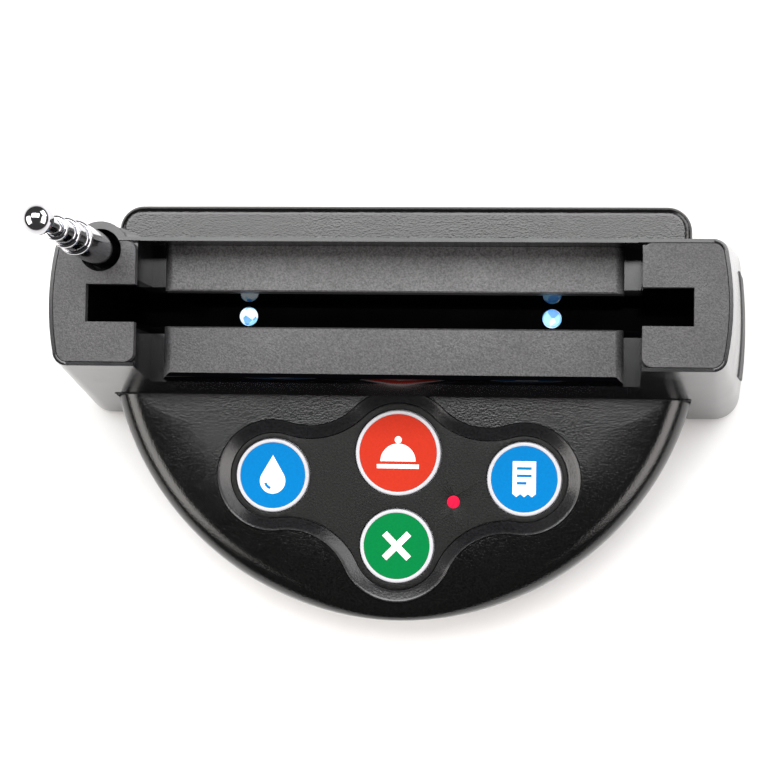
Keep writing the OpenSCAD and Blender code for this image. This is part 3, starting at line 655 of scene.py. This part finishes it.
CELL_R = 5.25
CELL_SHIFT = 1.6
SPRING_TURNS = 4
SPRING_STEPS = 28
SPRING_R = 3.0
SPRING_TAPER = 0.9
SPRING_WIRE_R = 0.32
SPRING_INSET = 0.35


def battery_springs():
    """Three coil springs at alternate ends of the cells, each a cone that narrows towards its cell."""
    wall = cad_box("battery_springs")[1].x
    cell_lo, cell_hi = cad_box("batteries")
    cell_end = abs(cell_lo.x) - 2 * CELL_SHIFT
    pitch_y = (cell_hi.y - cell_lo.y - 2 * CELL_R) / 2
    mid_z = (cell_lo.z + cell_hi.z) / 2
    count = SPRING_TURNS * SPRING_STEPS
    verts, faces = [], []
    for i in range(3):
        way = -1 if i % 2 == 0 else 1
        centre_y = cell_lo.y + CELL_R + i * pitch_y
        points = []
        for s in range(count + 1):
            a, t = 2 * math.pi * s / SPRING_STEPS, s / count
            r = SPRING_R - SPRING_TAPER * t
            x = wall - SPRING_INSET + (cell_end - wall + 2 * SPRING_INSET) * t
            points.append(Vector((way * x, centre_y + r * math.cos(a), mid_z + r * math.sin(a))))
        coil_verts, coil_faces = tube(points, SPRING_WIRE_R)
        faces += [tuple(k + len(verts) for k in face) for face in coil_faces]
        verts += coil_verts
    piece("battery_coils", verts, faces, STEEL, "root", ["battery_springs"], "steel")


battery_springs()

# ---------------------------------------------------------------- CAD nodes that stay

# The end caps and the rear rail take the shaded and the lit copies of the grey plastic: painted shade and painted
# light.
NODE_LOOK = {
    "holder_shell": (GLOSS, 0.25), "left_end_cap": (CAP_MATTE_PAINTED_SHADE, 0.3), "right_end_cap": (CAP_MATTE_PAINTED_SHADE, 0.3),
    "front_rail": (MATTE, 0.35), "rear_rail": (REAR_MATTE_PAINTED_LIGHT, 0.35), "slot_channel": (LINER, 0.1),
    "slot_leds": (LED, 0), "led_board": (BOARD, 0.08), "led_board_screws": (STEEL, 0.06), "side_pads": (PAD, 0.2),
    "base_pan": (UNDER, 0.2), "battery_door": (UNDER, 0.12), "rubber_feet": (FOOT, 0.25),
    "battery_box": (UNDER, 0.2), "batteries": (CELL, 0.3), "battery_contacts": (STEEL, 0.06),
    "main_board": (BOARD, 0.08), "switch_bodies": (CHIP, 0.12), "controller_chip": (CHIP, 0.04),
    "chip_parts": (PART, 0.06), "radio_board": (BOARD_BLUE, 0.08), "radio_shield": (STEEL, 0.06),
    "crystal_can": (STEEL, 0.2), "status_led": (WHITE, 0.1), "status_window": (STATUS, 0.06),
    "call_plunger": (WHITE, 0.08), "water_plunger": (WHITE, 0.08), "bill_plunger": (WHITE, 0.08),
    "cancel_plunger": (WHITE, 0.08), "antenna_bushing": (UNDER, 0.1), "antenna_lug": (BRASS, 0.06),
    "antenna_lead": (WIRE_RED, 0), "led_leads": (WIRE_RED, 0), "battery_leads": (WIRE_BLACK, 0),
    "case_screws": (STEEL, 0.06), "holder_screws": (STEEL, 0.06), "board_screws": (STEEL, 0.06),
}

for node, (look, width) in NODE_LOOK.items():
    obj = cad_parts[node]
    obj.data.materials.clear()
    obj.data.materials.append(look)
    if width:
        soften(obj, width)

# The front rail's face towards the keys is polished like the shell below it
front_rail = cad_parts["front_rail"].data
front_rail.materials.append(LINER)
for polygon in front_rail.polygons:
    if polygon.normal.y < -0.2:
        polygon.material_index = 1

# ---------------------------------------------------------------- floor, light, camera

floor_look = material("floor_white", (0.93, 0.93, 0.93), 0.7, grain=6, speckle=0.01, bump=0.02, depth=0.02)
floor_mesh = bpy.data.meshes.new("floor")
floor_mesh.from_pydata([(-3, -3, 0), (3, -3, 0), (3, 3, 0), (-3, 3, 0)], [], [(0, 1, 2, 3)])
floor_mesh.materials.append(floor_look)
floor = bpy.data.objects.new("floor", floor_mesh)
bpy.context.scene.collection.objects.link(floor)


def softbox(name, place, aim, width, height, power, colour=(1, 1, 1)):
    """A soft area light at a place in metres, turned to a point."""
    data = bpy.data.lights.new(name, "AREA")
    data.shape = "RECTANGLE"
    data.size, data.size_y = width, height
    data.energy = power
    data.color = colour
    lamp = bpy.data.objects.new(name, data)
    bpy.context.scene.collection.objects.link(lamp)
    lamp.location = place
    lamp.rotation_euler = (Vector(aim) - Vector(place)).to_track_quat("-Z", "Y").to_euler()


softbox("overhead", (-0.15, 0.49, 1.4), (-0.15, 0.1, 0), 1.3, 0.66, 23)
softbox("rear_right", (1.0, 0.8, 0.7), (0, 0, 0.03), 1.1, 0.7, 11)
softbox("left", (-1.1, -0.25, 0.86), (0, 0, 0.02), 1.1, 0.8, 15, (1.0, 0.96, 0.92))
softbox("right", (1.1, -0.25, 0.86), (0, 0, 0.02), 1.1, 0.8, 14, (1.0, 0.95, 0.93))

scene = bpy.context.scene
scene.world = bpy.data.worlds.new("studio")
scene.world.use_nodes = True
backdrop = scene.world.node_tree.nodes["Background"]
backdrop.inputs["Color"].default_value = (1, 1, 1, 1)
backdrop.inputs["Strength"].default_value = 0.07
scene.view_settings.view_transform = "Standard"

camera_data = bpy.data.cameras.new("camera")
camera_data.lens = 95.32
camera_data.sensor_width = 36
camera_data.clip_start, camera_data.clip_end = 0.01, 20
camera = bpy.data.objects.new("camera", camera_data)
scene.collection.objects.link(camera)
camera.location = (0.04425, -0.01829, 0.47795)
camera.rotation_euler = [math.radians(a) for a in (3.211, 5.981, 0.985)]
scene.camera = camera

bpy.context.view_layer.update()
